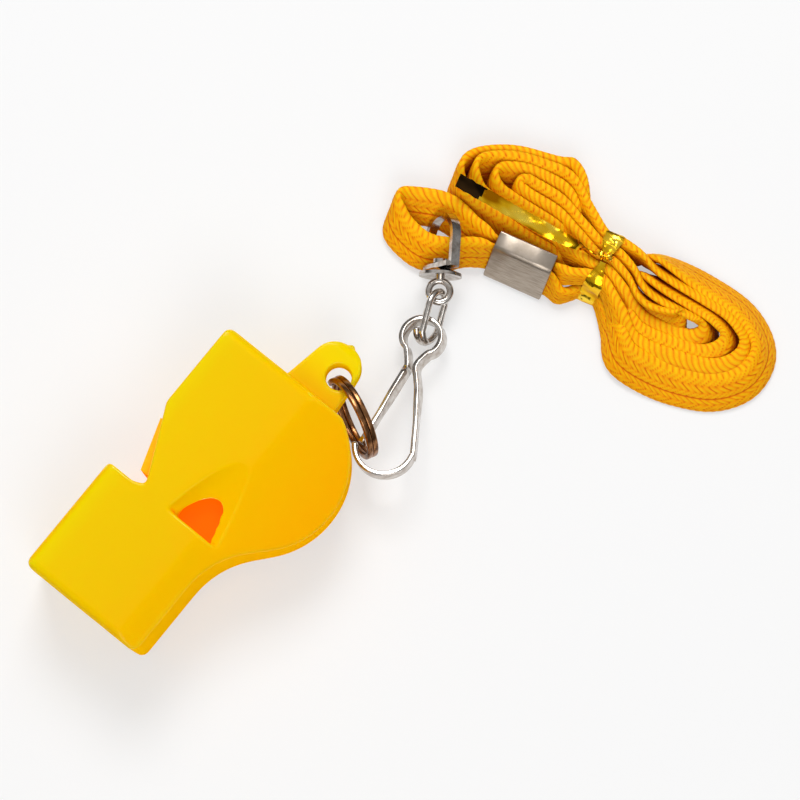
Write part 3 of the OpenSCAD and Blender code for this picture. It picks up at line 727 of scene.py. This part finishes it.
def swept(name, path, section, up):
    """A section swept along a path; its first axis is square to the path and to up, its second along up."""
    path, section, up = np.asarray(path, float), np.asarray(section, float), np.asarray(up, float)
    along = np.gradient(path, axis=0)
    along /= np.linalg.norm(along, axis=1)[:, None]
    side = np.cross(up, along)
    side /= np.linalg.norm(side, axis=1)[:, None]
    high = np.cross(along, side)
    rings = path[:, None] + side[:, None] * section[None, :, 0:1] + high[:, None] * section[None, :, 1:2]
    return add_mesh(name, rings.reshape(-1, 3), tube_faces(len(path), len(section)))


def strip_section(w, h, r, steps=3):
    """A rectangle w by h with corners of radius r."""
    points = []
    for k, (sx, sy) in enumerate([(1, 1), (-1, 1), (-1, -1), (1, -1)]):
        for s in range(steps + 1):
            points.append(np.array([sx * (w / 2 - r), sy * (h / 2 - r)]) + polar(r, 90 * (k + s / steps)))
    return points


def wire_section(d, sides=20):
    return [polar(d / 2, 360 * k / sides) for k in range(sides)]


LUG_FROM_X = 12.9
LUG_L = 10.6
LUG_HOLE_SHARE = 0.47
LUG_Y = -1.5
LUG_HOLE = np.array([LUG_FROM_X + LUG_L * LUG_HOLE_SHARE, LUG_Y, HALF_W])
RING_D = 13.8
RING_T = 0.9
TURN_H = 0.8
RING_DIP = math.radians(14)
RING_LEAN = math.radians(12)
RING_PLAN = math.radians(241)
RING_BEARING = 0.1
RING_TURNS = 2
RING_END = 200
RING_STEP = 4
RING_EDGE = 0.2
RUN_GAP = 0.06


def add_ring():
    """The split ring: two turns of flat wire through the hole in the lug."""
    r = (RING_D - RING_T) / 2
    out = np.array([math.cos(RING_DIP) * math.cos(RING_PLAN), math.cos(RING_DIP) * math.sin(RING_PLAN),
                    -math.sin(RING_DIP)])
    level = np.array([-math.sin(RING_PLAN), math.cos(RING_PLAN), 0])
    up = unit(np.cross(out, level)) * math.cos(RING_LEAN) + level * math.sin(RING_LEAN)
    axis = np.cross(out, up)
    centre = LUG_HOLE + out * (r - RING_BEARING)
    path = []
    for a in range(0, 360 * RING_TURNS + 1, RING_STEP):
        turn = polar(r, a + RING_END)
        path.append(centre + out * turn[0] + up * turn[1] + axis * (TURN_H + RUN_GAP) * (a / 360 - 1))
    ring = swept("split_ring_coils", path, strip_section(RING_T, TURN_H + RUN_GAP / 2, RING_EDGE), axis)
    dress(ring, BRONZE, "ring", "ring_metal", "split_ring")


add_ring()

STRIP_W = 2.2
STRIP_T = 0.8
STRIP_EDGE = 0.18
HOOK_R = 4.6
HOOK_L = 18.9
HOOK_EYE_R = 3.1
HOOK_AT = np.array([14.3, -13.5, 7.1])
HOOK_PLAN = math.radians(20.2)
HOOK_PITCH = math.radians(10)
HOOK_ROLL = math.radians(8)
HOOK_P = np.array([math.cos(HOOK_PLAN) * math.cos(HOOK_PITCH), math.sin(HOOK_PLAN) * math.cos(HOOK_PITCH),
                   -math.sin(HOOK_PITCH)])
HOOK_SIDE = np.array([math.sin(HOOK_PLAN), -math.cos(HOOK_PLAN), 0])
HOOK_Q = HOOK_SIDE * math.cos(HOOK_ROLL) + np.cross(HOOK_SIDE, HOOK_P) * math.sin(HOOK_ROLL)
HOOK_N = np.cross(HOOK_Q, HOOK_P)
J_TURN = math.radians(-5)
EYE_TURN = math.radians(-18)
NECK_SHARE = 0.74
NECK_P = HOOK_L * NECK_SHARE
NECK_GAP = 0.6
NECK_Q = (STRIP_T + NECK_GAP) / 2
ROOT_SHARE = 0.4
GATE_GAP = 0.15
GATE_TIP = -98
GATE_STEPS = 12
BEND_SHARES = np.array([0.51, 0.5])
LEG_BEND = np.array([HOOK_L, HOOK_R]) * BEND_SHARES
LEG_EASE = np.array([0.35, -0.1])
LEG_BLEND = 8
HOOK_END = 260
EYE_HALF = 148
ARC_STEPS = 18
HOOK_STEP = 0.35


def on_hook(p):
    """A point of the hook's plane, whose origin is the middle of its J, in the part's frame."""
    return HOOK_AT + HOOK_P * p[0] + HOOK_Q * p[1]


def arc(centre, r, start, end, n):
    """n + 1 points of an arc between two angles in degrees."""
    return [np.array(centre) + polar(r, mix(start, end, k / n)) for k in range(n + 1)]


def strip_up(path):
    """The direction of the strip's width: it twists a little from the J to the eye."""
    turn = mix(J_TURN, EYE_TURN, smooth((np.dot(np.asarray(path) - HOOK_AT, HOOK_P) - HOOK_R) / HOOK_R))
    return np.cos(turn)[:, None] * HOOK_N + np.sin(turn)[:, None] * HOOK_Q


def add_hook():
    """The hook's strip: neck, eye, long leg and J, and the springy leg that closes it."""
    touch = math.atan2(LEG_BEND[1], LEG_BEND[0]) + math.acos(HOOK_R / np.linalg.norm(LEG_BEND))
    root = np.array([NECK_P - STRIP_W * ROOT_SHARE, -NECK_Q])
    neck = np.array([NECK_P, NECK_Q])
    eye = arc((HOOK_L, 0), HOOK_EYE_R, -EYE_HALF, EYE_HALF, ARC_STEPS)
    bend = arc((0, 0), HOOK_R, math.degrees(touch) + LEG_BLEND, HOOK_END, ARC_STEPS)
    leg = [neck, (neck + LEG_BEND) / 2, LEG_BEND - LEG_EASE]
    run = [root + [GATE_GAP, 0], (NECK_P, -NECK_Q), *eye, *leg, *bend]
    path, _ = through([on_hook(p) for p in run], HOOK_STEP)
    section = strip_section(STRIP_T, STRIP_W, STRIP_EDGE)
    hook = swept("hook_strip", path, section, strip_up(path))
    dress(hook, NICKEL, "hook", "nickel", "hook_body")
    tip = polar(HOOK_R - STRIP_T - GATE_GAP, GATE_TIP)
    gate_run = [on_hook(mix(tip, root + [GATE_GAP, 0], k / GATE_STEPS)) for k in range(GATE_STEPS + 1)]
    gate = swept("hook_spring_leg", gate_run, section, strip_up(gate_run))
    dress(gate, NICKEL, "gate", "nickel", "hook_gate")


add_hook()

LINK_WIRE_D = 1.1
LINK_L = 8.4
LINK_W = 4.6
LINK_DROP = 1.8
LINK_ROLL = math.radians(36)
LINK_START_SHARES = (-0.3, 0.2)
LINK_CUTS = (95, 275, 455)
LINK_CUT_RUN = 170
LINK_STOP = 520
LINK_STEP = 13
LINK_LAP_SHARE = 1.25
LINK_PATH_STEP = 0.25
SWIVEL_AT = np.array([41.6, -2.7, 4.45])
SWIVEL_PLAN = math.radians(35.3)
SWIVEL_DIR = np.array([math.cos(SWIVEL_PLAN), math.sin(SWIVEL_PLAN), 0])
DISC_DISH = 0.7
EYE_R = 1.7
EYE_GAP = 0.1


def add_link():
    """The oval link: a little more than one turn of wire, its ends side by side."""
    end = SWIVEL_AT - SWIVEL_DIR * (DISC_DISH + LINK_WIRE_D / 2 + EYE_R + EYE_GAP)
    start = on_hook(np.array([HOOK_L, 0]) + HOOK_EYE_R * np.array(LINK_START_SHARES)) - [0, 0, LINK_DROP]
    way = unit(end - start)
    up = np.array([0, 0, 1])
    side = unit(up - way * way[2]) * math.cos(LINK_ROLL) + unit(np.cross(up, way)) * math.sin(LINK_ROLL)
    axis = np.cross(way, side)
    centre = end - way * LINK_L / 2
    spots = []
    for cut in LINK_CUTS:
        spots += range(cut, min(cut + LINK_CUT_RUN, LINK_STOP) + 1, LINK_STEP)
    path = []
    for i, a in enumerate(spots):
        p = polar(LINK_W / 2, a)
        p[0] += (LINK_L - LINK_W) / 2 * (1 if p[0] >= 0 else -1)
        lap = (LINK_WIRE_D + RUN_GAP) * (i / (len(spots) - 1) - 0.5) * LINK_LAP_SHARE
        path.append(centre + way * p[0] + side * p[1] + axis * lap)
    smooth_path, _ = through(path, LINK_PATH_STEP)
    link = swept("link_wire", smooth_path, wire_section(LINK_WIRE_D), axis)
    dress(link, NICKEL, "link", "nickel", "oval_link")


add_link()
keep("swivel_eye", NICKEL, bevel=0.08)
keep("swivel_disc", NICKEL, bevel=0.12)
keep("d_ring", NICKEL, bevel=0.14)


# Crimp: a folded sheet round the cord's two runs

CRIMP_T = CORD_T + LAYER_STEP + 2 * CRIMP_GAP + 2 * CRIMP_SHEET
CRIMP_H = BAND_H + 2 * CRIMP_GAP + 2 * CRIMP_SHEET
CRIMP_BEND = 0.55
CRIMP_LIP = 0.12
CORNER_STEPS = 6


def add_crimp():
    """Four sides with rounded bends, open at both ends."""
    outer, inner = (np.array(strip_section(CRIMP_T - 2 * inset, CRIMP_H - 2 * inset, CRIMP_BEND - inset,
                                           CORNER_STEPS)) for inset in (0, CRIMP_SHEET))
    edge = outer - np.sign(outer) * CRIMP_LIP
    loops = [(inner, 0), (edge, 0), (outer, CRIMP_LIP), (outer, CRIMP_L / 3), (outer, CRIMP_L * 2 / 3),
             (outer, CRIMP_L - CRIMP_LIP), (edge, CRIMP_L), (inner, CRIMP_L)]
    sides = len(outer)
    points = []
    for shape, u in loops:
        for t, h in shape:
            points.append([CRIMP_AT[0] + u - CRIMP_L / 2, CRIMP_AT[1] + t, CRIMP_AT[2] + h])
    faces = tube_faces(len(loops), sides, False)
    last = (len(loops) - 1) * sides
    faces += [[last + j, last + (j + 1) % sides, (j + 1) % sides, j] for j in range(sides)]
    crimp = add_mesh("crimp_sheet", on_hank(points), faces)
    crimp.data.set_sharp_from_angle(angle=SHARP_ANGLE)
    return dress(crimp, SATIN, "lanyard", "crimp_nickel", "crimp_ferrule")


crimp = add_crimp()


# Twist tie: crumpled gold foil round the waist, twisted into a knot, with a long tail

TIE_T = 0.4
TIE_GAP = 0.2
TIE_HALF_V = (FOLDS - 1) / 2 * WAIST_STEP + CORD_T / 2 + TIE_GAP + TIE_T / 2
TIE_HALF_Z = BAND_H / 2 + TIE_GAP + TIE_T / 2
TIE_MID_Z = WAIST_LOW + BAND_H / 2
KNOT_T = 1.3
KNOT_L = 2.4
KNOT_SHARE = -0.7
KNOT_V = WAIST_STEP * KNOT_SHARE
KNOT_Z = TIE_MID_Z + TIE_HALF_Z + TIE_T / 2 + RUN_GAP
TAIL_L = 26
TAIL_SHARES = [(-0.06, -0.05, 0.02), (-0.2, -0.06, 0.03), (-0.4, -0.06, 0.04), (-0.6, -0.05, 0.05),
               (-0.8, -0.03, 0.05), (-1, -0.01, 0.05)]
COARSE_RATE = 0.55
COARSE_SHARE = 0.7
FINE_RATE = 1.5
FINE_SHARE = 0.6
FINE_LOW_SHARE = 0.15
FRAY_RATES = (0.5, 3.0)
FRAY_SHARE = 0.06
CREASE_ANGLE = math.radians(24)


def crumpled(name, path, side, widths, thick, crush, seed, cells=9):
    """A foil strip along path: side is its width direction at each point, crush how far it is creased."""
    n = len(path)
    along = np.gradient(path, axis=0)
    along /= np.linalg.norm(along, axis=1)[:, None]
    normal = np.cross(along, side)
    normal /= np.linalg.norm(normal, axis=1)[:, None]
    spread = np.linspace(-0.5, 0.5, cells)
    top, low = [], []
    for i in range(n):
        for j, s in enumerate(spread):
            spot = path[i] + side[i] * s * widths[i]
            crease = noise.noise(Vector(spot * COARSE_RATE) + Vector((seed, 0, 0))) * COARSE_SHARE
            crease += abs(noise.noise(Vector(spot * FINE_RATE) + Vector((0, seed, 0)))) * FINE_SHARE
            crease -= FINE_LOW_SHARE
            fray = noise.noise(Vector((i * FRAY_RATES[0], j * FRAY_RATES[1], seed))) * FRAY_SHARE
            spot = spot + normal[i] * crease * crush[i] + side[i] * (fray * widths[i])
            top.append(spot + normal[i] * thick / 2)
            low.append(spot - normal[i] * thick / 2)
    sides = 2 * cells
    points = []
    for i in range(n):
        points += top[i * cells:(i + 1) * cells] + low[i * cells:(i + 1) * cells][::-1]
    piece = add_mesh(name, points, tube_faces(n, sides))
    piece.data.set_sharp_from_angle(angle=CREASE_ANGLE)
    return piece


WAIST_SHARES = [(0.5, 1), (0.95, 0.8), (1, 0), (0.9, -0.92), (0, -1), (-0.9, -0.92), (-1, 0), (-0.95, 0.8)]
WAIST_END = 0.3
FOIL_STEP = 0.3
BAND_WIDTHS = (1.0, 3.0)
BAND_CRUSH = (0.15, 0.45)
BAND_FOIL_T = 0.12
BAND_SEED = 5.3
PINCH_RATE = 7
UNDER_FROM = 1
UNDER_RUN = 1.5
UNDER_SHARE = 0.7


def add_tie_band():
    """The strip round the waist: narrow where it meets the knot, wide and creased on both sides."""
    v, z = TIE_HALF_V, TIE_HALF_Z
    corners = [(KNOT_V, z), *((v * a, z * b) for a, b in WAIST_SHARES), (KNOT_V - WAIST_END, z)]
    outline, at = through(corners, FOIL_STEP)
    path = on_hank(np.array([[0, p[0], TIE_MID_Z + p[1]] for p in outline]))
    gone = at / at[-1]
    pinch = smooth(np.minimum(gone, 1 - gone) * PINCH_RATE)
    under = smooth((-outline[:, 1] - UNDER_FROM) / UNDER_RUN)
    crush = mix(*BAND_CRUSH, pinch) * (1 - UNDER_SHARE * under)
    side = np.tile(HANK_U, (len(path), 1))
    return crumpled("tie_band", path, side, mix(*BAND_WIDTHS, pinch), BAND_FOIL_T, crush, BAND_SEED)


TAIL_STEP = 0.35
TAIL_WIDTHS = (0.9, 2.2)
TAIL_WIDEN_SHARE = 0.4
TAIL_CRUSH = (0.3, 0.04)
TAIL_CALM_SHARE = 0.85
TAIL_TWIST = math.radians(150)
TAIL_TWIST_SHARE = 0.28
TAIL_SLOPE = 0.25
TAIL_FOIL_T = 0.16
TAIL_SEED = 1.7
TIP_SHARE = 0.87


def add_tie_tail():
    """The tail: twisted tight at the knot, then a flat creased ribbon with a clean cut tip."""
    points = [on_hank([p[0] * TAIL_L, p[1] * TAIL_L, KNOT_Z + p[2] * TAIL_L]) for p in TAIL_SHARES]
    points = [on_hank([0, KNOT_V, KNOT_Z + KNOT_T / 2])] + points
    path, at = through(points, TAIL_STEP)
    gone = at / at[-1]
    flat = unit(HANK_V + np.array([0, 0, TAIL_SLOPE]))
    turn = TAIL_TWIST * (1 - smooth(gone / TAIL_TWIST_SHARE))
    side = np.cos(turn)[:, None] * flat + np.sin(turn)[:, None] * np.array([0, 0, 1])
    widths = mix(*TAIL_WIDTHS, smooth(gone / TAIL_WIDEN_SHARE))
    crush = mix(*TAIL_CRUSH, smooth(gone / TAIL_CALM_SHARE))
    tail = crumpled("tie_tail", path, side, widths, TAIL_FOIL_T, crush, TAIL_SEED)
    dress(tail, FOIL, "lanyard", "tie_foil")
    # The tip's faces take the painted dark reflection.
    tail.data.materials.append(FOIL_TIP_DARK_REFLECTION)
    tip_from = (on_hank([-TAIL_L * TIP_SHARE, 0, 0]) * MM)[1]
    for face in tail.data.polygons:
        face.material_index = int(face.center.y > tip_from)
    return tail


KNOT_RINGS = 25
KNOT_TURN = math.radians(540)
KNOT_W = 1.4
KNOT_WAVE = 0.1
KNOT_WAVE_RATE = 5
KNOT_FOIL_T = 0.5
KNOT_CRUSH = 0.18
KNOT_SEED = 8.1
KNOT_CELLS = 7


def add_tie_knot():
    """The twisted foil where both ends of the tie cross."""
    path, side, widths = [], [], []
    for s in np.linspace(-1, 1, KNOT_RINGS):
        z = KNOT_Z + KNOT_T / 2 + KNOT_WAVE * math.sin(s * KNOT_WAVE_RATE)
        path.append(on_hank([s * KNOT_L / 2, KNOT_V, z]))
        turn = KNOT_TURN * (s + 1) / 2
        side.append(unit(HANK_V * math.cos(turn) + np.array([0, 0, math.sin(turn)])))
        widths.append(KNOT_W * (1 - s * s / 2))
    path, side, crush = np.array(path), np.array(side), np.full(KNOT_RINGS, KNOT_CRUSH)
    return crumpled("tie_knot", path, side, widths, KNOT_FOIL_T, crush, KNOT_SEED, KNOT_CELLS)


tie_band, tie_tail, tie_knot = add_tie_band(), add_tie_tail(), add_tie_knot()
dress(tie_band, FOIL, "lanyard", "tie_foil", "twist_tie")
dress(tie_knot, FOIL, "lanyard", "tie_foil")


# Floor and light

FLOOR_HALF = 1500
FLOOR_TONE = (0.86, 0.86, 0.86, 1)
SHADOW_SHARE = 0.5
LAMP_AIM = Vector((20 * MM, -10 * MM, 0))
LAMPS = [("key_lamp", (0.38, 0.3, 0.65), 0.35, 3.6), ("fill_lamp", (-0.3, -0.35, 0.6), 0.4, 1.7)]
SKY_TONES = [(0, (0.1, 0.1, 0.1)), (0.35, (0.3, 0.3, 0.3)), (0.7, (1, 1, 1))]
SKY_STRENGTH = 0.52


def add_floor():
    """A white floor that keeps part of the object's shadow."""
    corners = [(x * FLOOR_HALF, y * FLOOR_HALF, 0) for x, y in ((-1, -1), (1, -1), (1, 1), (-1, 1))]
    floor = add_mesh("floor", corners, [(0, 1, 2, 3)])
    made, tree, shader = material("floor_white")
    set_inputs(shader, Base_Color=FLOOR_TONE, Roughness=0.9, Specular_IOR_Level=0)
    white = node(tree, "ShaderNodeEmission", Strength=1.0)
    rays = node(tree, "ShaderNodeLightPath").outputs
    seen = combined(tree, "MAXIMUM", rays["Is Camera Ray"], rays["Is Glossy Ray"])
    seen = combined(tree, "MAXIMUM", seen, rays["Is Transmission Ray"])
    blend = node(tree, "ShaderNodeMixShader")
    tree.links.new(combined(tree, "MULTIPLY", seen, 1 - SHADOW_SHARE), blend.inputs["Fac"])
    tree.links.new(shader.outputs["BSDF"], blend.inputs[1])
    tree.links.new(white.outputs["Emission"], blend.inputs[2])
    tree.links.new(blend.outputs["Shader"], tree.nodes["Material Output"].inputs["Surface"])
    floor.data.materials.append(made)


def add_lamp(name, place, size, power):
    lamp = bpy.data.lights.new(name, "AREA")
    lamp.size = size
    lamp.energy = power
    holder = bpy.data.objects.new(name, lamp)
    holder.location = place
    holder.rotation_euler = (LAMP_AIM - holder.location).to_track_quat("-Z", "Y").to_euler()
    bpy.context.scene.collection.objects.link(holder)


def add_light():
    """An even sky that is darker at the horizon, so that metal shows it, and two soft lamps."""
    world = bpy.data.worlds.new("world")
    bpy.context.scene.world = world
    world.use_nodes = True
    tree = world.node_tree
    way = parts_of(tree, node(tree, "ShaderNodeTexCoord").outputs["Generated"])
    sky = tree.nodes["Background"]
    set_inputs(sky, Strength=SKY_STRENGTH)
    tree.links.new(ramp(tree, mapped(tree, way["Z"], (0, 1)), SKY_TONES), sky.inputs["Color"])
    for lamp in LAMPS:
        add_lamp(*lamp)


add_floor()
add_light()
bpy.context.scene.view_settings.view_transform = "Standard"
